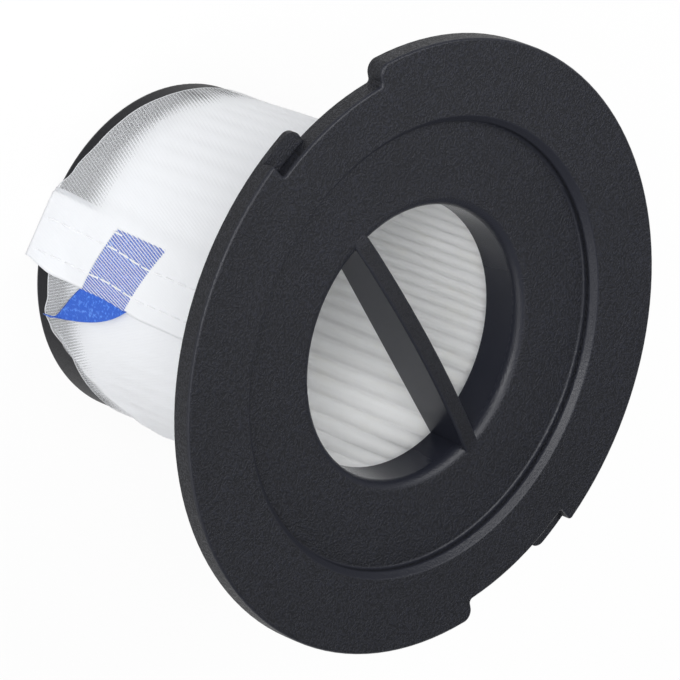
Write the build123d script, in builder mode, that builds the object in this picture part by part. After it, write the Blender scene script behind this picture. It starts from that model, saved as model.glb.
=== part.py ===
from build123d import *
import math
import os

# Cartridge filter of a stick vacuum cleaner, in millimetres. It stands on its end cap:
# the axis is Z, z = 0 is the cap's outer face, and the finger bar lies along X.

# Flange plate
overall_height = 59.9
rim_radius = 48.0
rim_thickness = 3.1
rim_edge_round = 0.5
recess_radius = 36.1
recess_depth = 2.3
recess_bevel = 1.0
recess_edge_round = 0.4
recess_root_round = 0.5
web_thickness = 2.2
step_wall = 2.2
step_round = 0.8

# Bayonet notches in the rim, each with a thin tab left at the rear face
notch_count = 2
notch_depth = 3.15
notch_start = -18.5
notch_sweep = 28.0
notch_corner_round = 1.8
notch_root_round = 0.6
tab_sweep = 8.5
tab_thickness = 1.0
tab_end_round = 2.0

# Bore and the arched finger bar across it
bore_depth = 7.0
bore_draft = 3.5
bore_lip_round = 1.8
bar_width = 2.8
bar_crown_drop = 0.5
bar_edge_round = 0.4

# Walls behind the plate that take the pleated pack
collar_wall = 1.15
skirt_wall = 1.8
skirt_length = 9.0
skirt_edge_round = 0.4

# End cap
cap_radius = 26.35
cap_height = 10.0
cap_wall = 0.9
cap_floor = 1.6
cap_edge_round = 0.8
cap_lip_round = 0.3
dam_height = 3.4

# Pleated paper
pleat_count = 54
pleat_depth = 2.97
paper_thickness = 0.5
pleat_bunching = 0.35
pleat_wide_angle = 145.0
pack_clearance = 0.1

# Rings of hot-melt at both ends of the pleats
adhesive_depth = 1.5
adhesive_clearance = 0.05

# Mesh sleeve
cloth_thickness = 0.35
sleeve_ease = 0.1
sleeve_overlap = 7.0
hem_low = 1.0
hem_rise_left = 3.6
hem_rise_right = 5.5

# Lap seam of the sleeve, flat and free at its far end
seam_angle = 41.0
seam_width = 11.9
seam_free_length = 14.0
seam_foot = 0.3
stitch_inset = 0.3
stitch_width = 1.2

# Ribbon caught in the seam
ribbon_width = 10.0
ribbon_thickness = 0.3
ribbon_gap = 0.08
ribbon_slope = 25.5
ribbon_height = 18.0
tail_reach = 5.8
tail_drop = 8.0
tail_bow = 2.4

# Heights of the flange
front_z = overall_height
floor_z = front_z - recess_depth
web_z = floor_z - web_thickness
rim_rear_z = front_z - rim_thickness
bore_rear_z = floor_z - bore_depth
bevel_z = front_z - recess_bevel
skirt_end_z = web_z - skirt_length

# Radii from the cap inwards: the pleats fit in the cap, the collar in the pleats, the bore in the collar
cap_inner_radius = cap_radius - cap_wall
pack_outer_radius = cap_inner_radius - pack_clearance
pack_inner_radius = pack_outer_radius - pleat_depth
collar_radius = pack_inner_radius - pack_clearance
bore_rear_radius = collar_radius - collar_wall
bore_radius = bore_rear_radius + bore_depth * math.tan(math.radians(bore_draft))
skirt_inner_radius = cap_inner_radius
skirt_radius = skirt_inner_radius + skirt_wall
step_radius = recess_radius + step_wall
recess_wall_radius = recess_radius - recess_bevel

# Heights of the pleated pack between its two beds of hot-melt
pack_base_z = cap_floor + adhesive_depth
pack_top_z = web_z - adhesive_depth

# The sleeve rests on the cap and on the flange's skirt
sleeve_cap_radius = cap_radius + sleeve_ease
sleeve_skirt_radius = skirt_radius + sleeve_ease
sleeve_top_z = skirt_end_z + sleeve_overlap
hem_half_span = sleeve_skirt_radius + cloth_thickness

# The lapped layer lies over the sleeve with room for the ribbon, and is stitched down along its first edge
lap_near = cloth_thickness + 2 * ribbon_gap + ribbon_thickness
lap_far = lap_near + cloth_thickness
seam_sweep = math.degrees(seam_width / (sleeve_cap_radius + lap_near))
seam_start = seam_angle - seam_sweep / 2
stitch_start = seam_start + math.degrees(stitch_inset / sleeve_cap_radius)
stitch_sweep = math.degrees(stitch_width / sleeve_cap_radius)
stitch_end = stitch_start + stitch_sweep


def annular_sector(inner, outer, start, sweep):
    """Face between two radii about the axis, over a sweep of degrees."""
    with BuildSketch() as sector:
        with BuildLine():
            near = CenterArc((0, 0), inner, start, sweep)
            far = CenterArc((0, 0), outer, start, sweep)
            Line(near @ 0, far @ 0)
            Line(near @ 1, far @ 1)
        make_face()
    return sector.sketch


def nearest_corners(sketch, points):
    """Vertices of a sketch that lie at the given points of its plane."""
    return [sketch.vertices().sort_by_distance(Vector(*point))[0] for point in points]


def ring_edge(part, radius, height):
    """Circle of a part at a radius and a height."""
    rings = part.edges().filter_by(GeomType.CIRCLE)
    return rings.sort_by_distance(Vector(radius, 0, height))[0]


def polar_point(radius, degrees):
    """Point of the XY plane at a radius and an angle."""
    angle = math.radians(degrees)
    return Vector(radius * math.cos(angle), radius * math.sin(angle))


def notch_points(radius, degrees):
    """The same place in each of the notches, which are spread evenly round the rim."""
    return [polar_point(radius, degrees + 360 * i / notch_count) for i in range(notch_count)]


def rim_outline(sweep, far_round):
    """Disc of the rim with notches of the given sweep and rounded corners."""
    floor_radius = rim_radius - notch_depth
    notch_end = notch_start + sweep
    with BuildSketch() as outline:
        Circle(rim_radius)
        with PolarLocations(0, notch_count):
            add(annular_sector(floor_radius, rim_radius + notch_depth, notch_start, sweep), mode=Mode.SUBTRACT)
        roots = notch_points(floor_radius, notch_start) + notch_points(floor_radius, notch_end)
        fillet(nearest_corners(outline, roots), notch_root_round)
        fillet(nearest_corners(outline, notch_points(rim_radius, notch_start)), notch_corner_round)
        fillet(nearest_corners(outline, notch_points(rim_radius, notch_end)), far_round)
    return outline.sketch


# Finger bar: straight rear edge, arched front edge, ends sunk in the wall of the bore
bar_root = bore_rear_radius + collar_wall / 2
bar_end = bore_radius + bore_lip_round
with BuildPart() as finger_bar:
    with BuildSketch(Plane.XZ):
        with BuildLine():
            Polyline((-bar_end, floor_z), (-bar_end, web_z), (-bar_root, web_z), (-bar_root, bore_rear_z))
            Line((-bar_root, bore_rear_z), (bar_root, bore_rear_z))
            Polyline((bar_root, bore_rear_z), (bar_root, web_z), (bar_end, web_z), (bar_end, floor_z))
            ThreePointArc((bar_end, floor_z), (0, front_z - bar_crown_drop), (-bar_end, floor_z))
        make_face()
    extrude(amount=bar_width / 2, both=True)
    fillet(finger_bar.edges().filter_by(GeomType.CIRCLE), bar_edge_round)

# Flange: rim plate in two layers, bevelled recess, bore, and the walls behind it
with BuildPart() as flange:
    with BuildSketch(Plane.XY.offset(rim_rear_z)):
        add(rim_outline(notch_sweep - tab_sweep, tab_end_round))
    extrude(amount=tab_thickness)
    with BuildSketch(Plane.XY.offset(rim_rear_z + tab_thickness)):
        add(rim_outline(notch_sweep, rim_edge_round))
    extrude(amount=rim_thickness - tab_thickness)
    fillet(flange.faces().sort_by(Axis.Z)[-1].edges(), rim_edge_round)
    with BuildSketch(Plane.XZ) as walls:
        with BuildLine():
            Polyline(
                (0, floor_z),
                (step_radius, floor_z),
                (step_radius, web_z),
                (skirt_radius, web_z),
                (skirt_radius, skirt_end_z),
                (skirt_inner_radius, skirt_end_z),
                (skirt_inner_radius, web_z),
                (collar_radius, web_z),
                (collar_radius, bore_rear_z),
                (0, bore_rear_z),
                close=True,
            )
        make_face()
        fillet(nearest_corners(walls, [(step_radius, web_z)]), step_round)
        skirt_end = [(skirt_radius, skirt_end_z), (skirt_inner_radius, skirt_end_z)]
        fillet(nearest_corners(walls, skirt_end), skirt_edge_round)
    revolve(axis=Axis.Z)
    with BuildSketch(Plane.XZ):
        with BuildLine():
            Polyline(
                (0, bore_rear_z),
                (bore_rear_radius, bore_rear_z),
                (bore_radius, floor_z),
                (recess_wall_radius, floor_z),
                (recess_wall_radius, bevel_z),
                (recess_radius, front_z),
                (0, front_z),
                close=True,
            )
        make_face()
    revolve(axis=Axis.Z, mode=Mode.SUBTRACT)
    for radius, height in ((recess_radius, front_z), (recess_wall_radius, bevel_z)):
        fillet(ring_edge(flange.part, radius, height), recess_edge_round)
    fillet(ring_edge(flange.part, recess_wall_radius, floor_z), recess_root_round)
    fillet(ring_edge(flange.part, bore_radius, floor_z), bore_lip_round)
    add(finger_bar.part)

# End cap: a cup with a low inner wall that keeps the hot-melt in place
with BuildPart() as end_cap:
    with BuildSketch(Plane.XZ) as cup:
        with BuildLine():
            Polyline(
                (0, 0),
                (cap_radius, 0),
                (cap_radius, cap_height),
                (cap_inner_radius, cap_height),
                (cap_inner_radius, cap_floor),
                (collar_radius, cap_floor),
                (collar_radius, cap_floor + dam_height),
                (bore_rear_radius, cap_floor + dam_height),
                (bore_rear_radius, cap_floor),
                (0, cap_floor),
                close=True,
            )
        make_face()
        fillet(nearest_corners(cup, [(cap_radius, 0)]), cap_edge_round)
        cup_lip = [(cap_radius, cap_height), (cap_inner_radius, cap_height)]
        fillet(nearest_corners(cup, cup_lip), cap_lip_round)
    revolve(axis=Axis.Z)


def pleat_angle(step):
    """Angle of a fold: the pleats bunch up on two opposite sides and spread between them."""
    even = math.pi * step / pleat_count
    wide = math.radians(pleat_wide_angle)
    return even + pleat_bunching / 2 * math.sin(2 * (even - wide))


def fold_crease(step):
    """Crease of a fold, which its round is centred on: even folds point inwards, odd ones outwards."""
    radius = pack_outer_radius - paper_thickness if step % 2 else pack_inner_radius + paper_thickness
    return polar_point(radius, math.degrees(pleat_angle(step)))


def pleat_outline(rounds_outwards):
    """Closed outline of one side of the paper: folds towards that side are round, the others are creases."""
    folds = 2 * pleat_count
    creases = [fold_crease(step) for step in range(folds)]
    rounds = [paper_thickness if bool(step % 2) == rounds_outwards else 0.0 for step in range(folds)]
    leaves = []
    enters = []
    for step in range(folds):
        ahead = (step + 1) % folds
        leg = creases[ahead] - creases[step]
        lean = math.degrees(math.acos((rounds[step] + rounds[ahead]) / leg.length))
        normal = leg.normalized().rotate(Axis.Z, -lean if step % 2 else lean)
        leaves.append(creases[step] + normal * rounds[step])
        enters.append(creases[ahead] - normal * rounds[ahead])
    with BuildSketch() as outline:
        with BuildLine():
            for step in range(folds):
                Line(leaves[step], enters[step])
                if rounds[step] > 0:
                    outwards = creases[step].normalized() * rounds[step]
                    crest = creases[step] + outwards if rounds_outwards else creases[step] - outwards
                    ThreePointArc(enters[step - 1], crest, leaves[step])
        make_face()
    return outline.sketch


# Pleated paper: one strip of even thickness, folded into a ring
with BuildPart() as pleated_media:
    with BuildSketch(Plane.XY.offset(pack_base_z)):
        add(pleat_outline(rounds_outwards=True))
        add(pleat_outline(rounds_outwards=False), mode=Mode.SUBTRACT)
    extrude(amount=pack_top_z - pack_base_z)


def adhesive_ring(base_z):
    """Bed of hot-melt between the inner and the outer wall of a trough."""
    with BuildPart() as ring:
        with BuildSketch(Plane.XY.offset(base_z)):
            Circle(cap_inner_radius - adhesive_clearance)
            Circle(collar_radius + adhesive_clearance, mode=Mode.SUBTRACT)
        extrude(amount=adhesive_depth)
    return ring.part


lower_adhesive = adhesive_ring(cap_floor)
upper_adhesive = adhesive_ring(pack_top_z)


def sleeve_shell(near, far, start=0.0, sweep=360.0):
    """Shell that follows the sleeve, between two distances out from its inside."""
    shape = [
        (sleeve_cap_radius, seam_foot),
        (sleeve_cap_radius, cap_height),
        (sleeve_skirt_radius, skirt_end_z),
        (sleeve_skirt_radius, sleeve_top_z),
    ]
    inside = [(radius + near, height) for radius, height in shape]
    outside = [(radius + far, height) for radius, height in reversed(shape)]
    radial_plane = Plane(origin=(0, 0, 0), x_dir=polar_point(1, start), z_dir=polar_point(1, start - 90))
    with BuildPart() as shell:
        with BuildSketch(radial_plane):
            with BuildLine():
                Polyline(*inside, *outside, close=True)
            make_face()
        revolve(axis=Axis.Z, revolution_arc=sweep)
    return shell.part


def lap_section(height):
    """Section of the seam's upper layer: flat at its free foot, wrapped round the sleeve above it."""
    rise = max(0.0, (height - cap_height) / (skirt_end_z - cap_height))
    seat = sleeve_cap_radius + min(1.0, rise) * (sleeve_skirt_radius - sleeve_cap_radius)
    near = seat + lap_near
    far = seat + lap_far
    with BuildSketch() as section:
        with BuildLine():
            if height > seam_foot:
                inner = CenterArc((0, 0), near, seam_start, seam_sweep)
                outer = CenterArc((0, 0), far, seam_start, seam_sweep)
            else:
                along = polar_point(seam_width, seam_start + 90)
                inner = Line(polar_point(near, seam_start), polar_point(near, seam_start) + along)
                outer = Line(polar_point(far, seam_start), polar_point(far, seam_start) + along)
            Line(inner @ 0, outer @ 0)
            Line(inner @ 1, outer @ 1)
        make_face()
    return section.sketch


# Plane against the seam: its X runs round the sleeve and its Y up the axis
seam_out = polar_point(1, seam_angle)
seam_along = polar_point(1, seam_angle + 90)
seam_plane = Plane(origin=(0, 0, 0), x_dir=seam_along, z_dir=seam_out)

# Mesh sleeve: a tube with an uneven raw hem, whose lapped end is sewn down along one edge
lap_stations = [seam_foot, seam_free_length, skirt_end_z, sleeve_top_z]
with BuildPart() as mesh_sleeve:
    add(sleeve_shell(0, cloth_thickness))
    with BuildSketch(seam_plane):
        with BuildLine():
            hem_left = (-hem_half_span, hem_low + hem_rise_left)
            hem_right = (hem_half_span, hem_low + hem_rise_right)
            ThreePointArc(hem_left, (0, hem_low), hem_right)
            Polyline(hem_right, (hem_half_span, 0), (-hem_half_span, 0), hem_left)
        make_face()
    extrude(amount=hem_half_span, both=True, mode=Mode.SUBTRACT)
    add(sleeve_shell(cloth_thickness / 2, lap_near + cloth_thickness / 2, stitch_start, stitch_sweep))
    for lower, upper in zip(lap_stations, lap_stations[1:]):
        with BuildSketch(Plane.XY.offset(lower)):
            add(lap_section(lower))
        with BuildSketch(Plane.XY.offset(upper)):
            add(lap_section(upper))
        loft()

# Pull ribbon: a slanted strip under the lap, with a pointed free tail that hangs out below it
ribbon_near = cloth_thickness + ribbon_gap
ribbon_half_height = ribbon_width / 2 / math.cos(math.radians(ribbon_slope))
ribbon_fall = math.tan(math.radians(ribbon_slope))
ribbon_start = ribbon_gap - sleeve_cap_radius * math.sin(math.radians(seam_angle - stitch_end))
ribbon_exit = seam_width / 2
start_z = ribbon_height - ribbon_start * ribbon_fall
exit_z = ribbon_height - ribbon_exit * ribbon_fall
with BuildPart() as pull_ribbon:
    add(sleeve_shell(ribbon_near, ribbon_near + ribbon_thickness))
    with BuildSketch(seam_plane):
        with BuildLine():
            exit_far = Vector(ribbon_exit, exit_z + ribbon_half_height)
            exit_near = Vector(ribbon_exit, exit_z - ribbon_half_height)
            tip = exit_near + Vector(tail_reach, -tail_drop)
            chord = tip - exit_far
            bowed = exit_far + chord / 2 + chord.normalized().rotate(Axis.Z, 90) * tail_bow
            Polyline(
                tip,
                exit_near,
                (ribbon_start, start_z - ribbon_half_height),
                (ribbon_start, start_z + ribbon_half_height),
                exit_far,
            )
            ThreePointArc(exit_far, bowed, tip)
        make_face()
    extrude(amount=hem_half_span + lap_far, mode=Mode.INTERSECT)

pieces = {
    "flange": flange.part,
    "end_cap": end_cap.part,
    "pleated_media": pleated_media.part,
    "upper_adhesive": upper_adhesive,
    "lower_adhesive": lower_adhesive,
    "mesh_sleeve": mesh_sleeve.part,
    "pull_ribbon": pull_ribbon.part,
}
os.makedirs("parts", exist_ok=True)
for name, piece in pieces.items():
    piece.label = name
    export_step(piece, f"parts/{name}.step")
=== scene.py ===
"""Looks of a cartridge vacuum filter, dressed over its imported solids.

The filter stands on its end cap with its axis along Z, and the finger bar of its flange lies along X.
Angles go round the axis from X, in degrees. Lengths are in metres, apart from the threads' places on
the flat cloth, which are in millimetres.
"""

import logging
import math
from dataclasses import dataclass, field
from enum import Enum

import bmesh
import bpy
from mathutils import Matrix, Vector, noise


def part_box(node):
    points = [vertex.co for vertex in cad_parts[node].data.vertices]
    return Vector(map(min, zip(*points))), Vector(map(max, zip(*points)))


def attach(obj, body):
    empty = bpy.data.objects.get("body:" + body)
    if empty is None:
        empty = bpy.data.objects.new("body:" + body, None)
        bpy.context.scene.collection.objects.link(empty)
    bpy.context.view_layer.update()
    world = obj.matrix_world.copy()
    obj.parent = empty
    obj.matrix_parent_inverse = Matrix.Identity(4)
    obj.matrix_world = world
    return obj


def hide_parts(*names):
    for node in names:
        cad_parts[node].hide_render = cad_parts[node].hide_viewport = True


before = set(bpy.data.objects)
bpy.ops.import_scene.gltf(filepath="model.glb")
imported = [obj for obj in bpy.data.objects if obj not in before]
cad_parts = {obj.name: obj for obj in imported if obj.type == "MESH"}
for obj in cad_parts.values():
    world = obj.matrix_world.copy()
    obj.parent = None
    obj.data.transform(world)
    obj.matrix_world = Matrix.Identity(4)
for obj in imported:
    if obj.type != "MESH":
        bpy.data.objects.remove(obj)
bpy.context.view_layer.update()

MM = 0.001
BODY = "root"
THREADS = "threads"
FROM_HEM = "from_hem"
THREAD_FILL = "thread_fill"
LOG = logging.getLogger("cartridge_filter")

PLEATS = 54
CLOTH_SLACK = 0.2 * MM

Colour = tuple[float, float, float]
Pair = tuple[float, float]


class ClothCover(Enum):
    """How much of a cloth the threads close."""

    SHEER = "sheer"
    CLOSED = "closed"


class MixKind(Enum):
    """What a Mix node mixes, with the numbers of its two inputs and of its result."""

    RGBA = (6, 7, 2)
    FLOAT = (2, 3, 0)


class PaperSide(Enum):
    """Side of the pleated paper, with the parity of the folds that are round on it."""

    INNER = 0
    OUTER = 1


FoldLoops = dict[PaperSide, list[list[list[int]]]]


def smooth_step(value: float, low: float, high: float) -> float:
    """Eased share of the way from low to high, from 0 to 1."""
    share = min(1.0, max(0.0, (value - low) / (high - low)))
    return share * share * (3 - 2 * share)


def mix(start: float, end: float, share: float) -> float:
    """Value a share of the way from start to end."""
    return start + (end - start) * share


def mix_pair(start: Pair, end: Pair, share: float) -> Pair:
    """Pair of values a share of the way from start to end."""
    return mix(start[0], end[0], share), mix(start[1], end[1], share)


def round_axis(radius: float, degrees: float, height: float) -> Vector:
    """Point at a radius and an angle round the filter's axis."""
    angle = math.radians(degrees)
    return Vector((radius * math.cos(angle), radius * math.sin(angle), height))


def round_stations(*places: Pair) -> tuple[Pair, ...]:
    """Stations round the sleeve, with each height given in millimetres."""
    return tuple((degrees, height * MM) for degrees, height in places)


def along_stations(stations: tuple[Pair, ...], place: float) -> float:
    """Eased value between the stations on either side of a place.

    Args:
        stations: pairs of place and value, in rising order of place.
        place: where the value is wanted.

    Returns:
        The value there, held level past the first and the last station.
    """
    if place <= stations[0][0]:
        return stations[0][1]
    for (low, first), (high, second) in zip(stations, stations[1:]):
        if place <= high:
            return mix(first, second, smooth_step(place, low, high))
    return stations[-1][1]


def new_piece(name: str, mesh: bpy.types.Mesh) -> bpy.types.Object:
    """Adds an object for a mesh to the scene, shaded smooth.

    Args:
        name: name of the piece.
        mesh: its mesh.

    Returns:
        The new object.
    """
    mesh.shade_smooth()
    piece = bpy.data.objects.new(name, mesh)
    bpy.context.scene.collection.objects.link(piece)
    return piece


def quad_sheet(name: str, rows: list[list[Vector]], threads: list[list[Pair]]) -> bpy.types.Object:
    """Makes a sheet of quads over rows of points.

    Args:
        name: name of the piece.
        rows: points of the sheet, each row as long as the first.
        threads: place of each point on the flat cloth, in millimetres along the weft and the warp.

    Returns:
        The piece, with the flat places as a UV layer.
    """
    width = len(rows[0])
    faces = []
    for row in range(len(rows) - 1):
        for column in range(width - 1):
            corner = row * width + column
            faces.append((corner, corner + 1, corner + width + 1, corner + width))
    mesh = bpy.data.meshes.new(name)
    mesh.from_pydata([point for row in rows for point in row], [], faces)
    flat = [place for row in threads for place in row]
    layer = mesh.uv_layers.new(name=THREADS)
    layer.data.foreach_set("uv", [value for loop in mesh.loops for value in flat[loop.vertex_index]])
    return new_piece(name, mesh)


def thicken(piece: bpy.types.Object, thickness: float) -> None:
    """Gives a sheet its cloth's thickness, half to each side.

    Args:
        piece: sheet to thicken.
        thickness: thickness of its cloth.
    """
    shell = piece.modifiers.new("cloth", "SOLIDIFY")
    shell.thickness = thickness
    shell.offset = 0.0


def weld(piece: bpy.types.Object, distance: float) -> None:
    """Merges the points of a piece that meet.

    Args:
        piece: piece to mend.
        distance: how near two points have to be to merge.
    """
    joined = bmesh.new()
    joined.from_mesh(piece.data)
    bmesh.ops.remove_doubles(joined, verts=joined.verts, dist=distance)
    joined.to_mesh(piece.data)
    joined.free()


class Wiring:
    """Adds nodes to one node tree and joins their sockets."""

    def __init__(self, tree: bpy.types.NodeTree) -> None:
        """Starts on a tree, which may already hold nodes."""
        self.tree = tree

    def node(self, kind: str, **settings: object) -> bpy.types.Node:
        """Adds a node of a kind and sets its properties.

        Args:
            kind: Blender's name of the node's type.
            settings: properties to set on it.

        Returns:
            The node.
        """
        added = self.tree.nodes.new(kind)
        for name, value in settings.items():
            setattr(added, name, value)
        return added

    def feed(self, node: bpy.types.Node, **inputs: object) -> bpy.types.Node:
        """Sets or joins inputs of a node, which are named with underscores for spaces.

        Args:
            node: node to feed.
            inputs: a socket or a plain value for each input.

        Returns:
            The same node.
        """
        for name, value in inputs.items():
            self.join(value, node.inputs[name.replace("_", " ")])
        return node

    def join(self, value: object, socket: bpy.types.NodeSocket) -> None:
        """Joins a socket to an input, or sets the input to a plain value.

        Args:
            value: socket or plain value.
            socket: input that takes it.
        """
        if isinstance(value, bpy.types.NodeSocket):
            self.tree.links.new(value, socket)
        else:
            socket.default_value = value

    def math(self, operation: str, *values: object) -> bpy.types.NodeSocket:
        """Result of a math node on sockets or plain numbers.

        Args:
            operation: Blender's name of the operation.
            values: its operands, in order.

        Returns:
            The result's socket.
        """
        worked = self.node("ShaderNodeMath", operation=operation)
        for value, socket in zip(values, worked.inputs):
            self.join(value, socket)
        return worked.outputs[0]

    def ramp(self, value: object, low: float, high: float, eased: bool = False) -> bpy.types.NodeSocket:
        """Share of the way from low to high, held between 0 and 1.

        Args:
            value: what is compared.
            low: where the share is 0.
            high: where the share is 1.
            eased: whether the ramp starts and ends softly.

        Returns:
            The share's socket.
        """
        ranged = self.node("ShaderNodeMapRange", interpolation_type="SMOOTHSTEP" if eased else "LINEAR")
        self.feed(ranged, Value=value, From_Min=low, From_Max=high)
        return ranged.outputs["Result"]

    def mixed(self, kind: MixKind, share: object, first: object, second: object) -> bpy.types.NodeSocket:
        """Result of a Mix node on sockets or plain values.

        Args:
            kind: what is mixed.
            share: share of the second, from 0 to 1.
            first: what a share of 0 gives.
            second: what a share of 1 gives.

        Returns:
            The result's socket.
        """
        first_input, second_input, result = kind.value
        node = self.node("ShaderNodeMix", data_type=kind.name)
        self.join(share, node.inputs["Factor"])
        self.join(first, node.inputs[first_input])
        self.join(second, node.inputs[second_input])
        return node.outputs[result]

    def blend(self, share: object, first: object, second: object) -> bpy.types.NodeSocket:
        """Colour between two colours."""
        return self.mixed(MixKind.RGBA, share, first, second)

    def blend_value(self, share: object, first: object, second: object) -> bpy.types.NodeSocket:
        """Number between two numbers."""
        return self.mixed(MixKind.FLOAT, share, first, second)

    def noise(self, scale: object, detail: float, place: bpy.types.NodeSocket) -> bpy.types.NodeSocket:
        """Noise at a scale per metre.

        Args:
            scale: waves per metre.
            detail: how many finer layers it has.
            place: where it is read.

        Returns:
            The noise's socket, from 0 to 1.
        """
        grain = self.node("ShaderNodeTexNoise")
        self.feed(grain, Vector=place, Scale=scale, Detail=detail)
        return grain.outputs["Fac"]

    def place(self) -> bpy.types.NodeSocket:
        """Place on the object, in metres."""
        return self.node("ShaderNodeTexCoord").outputs["Object"]

    def parts(self, vector: bpy.types.NodeSocket) -> bpy.types.NodeOutputs:
        """X, Y and Z of a vector.

        Args:
            vector: socket to split.

        Returns:
            Sockets named X, Y and Z.
        """
        split = self.node("ShaderNodeSeparateXYZ")
        self.join(vector, split.inputs[0])
        return split.outputs


class EffectGroup:
    """Shader effect that several finishes share, built once as a node group."""

    name: str = ""
    inputs: dict[str, float] = {}
    outputs: tuple[str, ...] = ()

    def tree(self) -> bpy.types.NodeTree:
        """The group's node tree, made on first use.

        Returns:
            The tree, with the class's inputs and outputs as its sockets.
        """
        known = bpy.data.node_groups.get(self.name)
        if known:
            return known
        tree = bpy.data.node_groups.new(self.name, "ShaderNodeTree")
        for name, default in self.inputs.items():
            socket = tree.interface.new_socket(name, in_out="INPUT", socket_type="NodeSocketFloat")
            socket.default_value = default
        for name in self.outputs:
            tree.interface.new_socket(name, in_out="OUTPUT", socket_type="NodeSocketFloat")
        wiring = Wiring(tree)
        entry = wiring.node("NodeGroupInput")
        leave = wiring.node("NodeGroupOutput")
        for name, value in self.wire(wiring, entry.outputs).items():
            wiring.join(value, leave.inputs[name])
        return tree

    def wire(self, wiring: Wiring, given: bpy.types.NodeOutputs) -> dict[str, bpy.types.NodeSocket]:
        """Builds the effect from the group's inputs and returns a socket for each output."""
        raise NotImplementedError

    def use(self, wiring: Wiring, **values: object) -> bpy.types.NodeOutputs:
        """Places the group in a material with values or sockets of its own and returns its outputs.

        Args:
            wiring: tree of the material.
            values: the group's inputs, named with underscores for spaces.

        Returns:
            The placed group's outputs.
        """
        placed = wiring.node("ShaderNodeGroup", node_tree=self.tree())
        wiring.feed(placed, **values)
        return placed.outputs


class MouldedGrain(EffectGroup):
    """Spark-eroded grain of a moulding: fine pits over soft blotches."""

    name = "moulded_grain"
    inputs = {"Pit Scale": 2600.0}
    outputs = ("Pits", "Blotch")
    coarse_size: float = 0.45
    coarse_share: float = 0.3
    pit_range: Pair = (0.53, 0.8)
    blotch_scale: float = 90.0
    blotch_range: Pair = (0.3, 0.7)

    def wire(self, wiring: Wiring, given: bpy.types.NodeOutputs) -> dict[str, bpy.types.NodeSocket]:
        """Two sizes of pit make the relief, and a broad noise makes the blotches.

        Args:
            wiring: tree of the group.
            given: the group's inputs.

        Returns:
            A socket for each output.
        """
        place = wiring.place()
        fine = wiring.noise(given["Pit Scale"], 2.0, place)
        coarse_scale = wiring.math("MULTIPLY", given["Pit Scale"], self.coarse_size)
        coarse = wiring.math("MULTIPLY", wiring.noise(coarse_scale, 1.0, place), self.coarse_share)
        pits = wiring.ramp(wiring.math("ADD", fine, coarse), *self.pit_range)
        blotch = wiring.ramp(wiring.noise(self.blotch_scale, 3.0, place), *self.blotch_range)
        return {"Pits": pits, "Blotch": blotch}


class ThreadWeave(EffectGroup):
    """Plain weave laid out on the flat cloth, with a mask of where threads are."""

    name = "thread_weave"
    inputs = {"Warp Pitch": 0.45, "Weft Pitch": 0.3, "Warp Fill": 0.5, "Weft Fill": 0.2}
    outputs = ("Cover", "Height", "Slub")
    sway: float = 0.05
    sway_scale: float = 260.0
    least_reach: float = 0.01
    weft_height: float = 0.7
    slub_scale: float = 2000.0
    slub_range: Pair = (0.5, 0.75)

    def wire(self, wiring: Wiring, given: bpy.types.NodeOutputs) -> dict[str, bpy.types.NodeSocket]:
        """Distances from the nearest warp and weft thread give the mask and the crowns.

        Args:
            wiring: tree of the group.
            given: the group's inputs.

        Returns:
            A socket for each output.
        """
        flat = wiring.parts(wiring.node("ShaderNodeUVMap", uv_map=THREADS).outputs["UV"])
        wander = wiring.math("SUBTRACT", wiring.noise(self.sway_scale, 2.0, wiring.place()), 0.5)
        sway = wiring.math("MULTIPLY", wander, self.sway)
        crowns = {}
        covers = {}
        for thread, axis in (("Warp", "X"), ("Weft", "Y")):
            place = wiring.math("ADD", flat[axis], sway)
            cycle = wiring.math("FRACT", wiring.math("DIVIDE", place, given[thread + " Pitch"]))
            aside = wiring.math("ABSOLUTE", wiring.math("SUBTRACT", cycle, 0.5))
            reach = wiring.math("MULTIPLY", given[thread + " Fill"], 0.5)
            covers[thread] = wiring.math("LESS_THAN", aside, reach)
            share = wiring.math("DIVIDE", aside, wiring.math("MAXIMUM", reach, self.least_reach))
            crowns[thread] = wiring.math("SUBTRACT", 1.0, wiring.math("MINIMUM", share, 1.0))
        cover = wiring.math("MAXIMUM", covers["Warp"], covers["Weft"])
        weft_crown = wiring.math("MULTIPLY", crowns["Weft"], self.weft_height)
        height = wiring.math("MAXIMUM", crowns["Warp"], weft_crown)
        slub = wiring.ramp(wiring.noise(self.slub_scale, 1.0, wiring.place()), *self.slub_range, eased=True)
        return {"Cover": cover, "Height": height, "Slub": slub}


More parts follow.
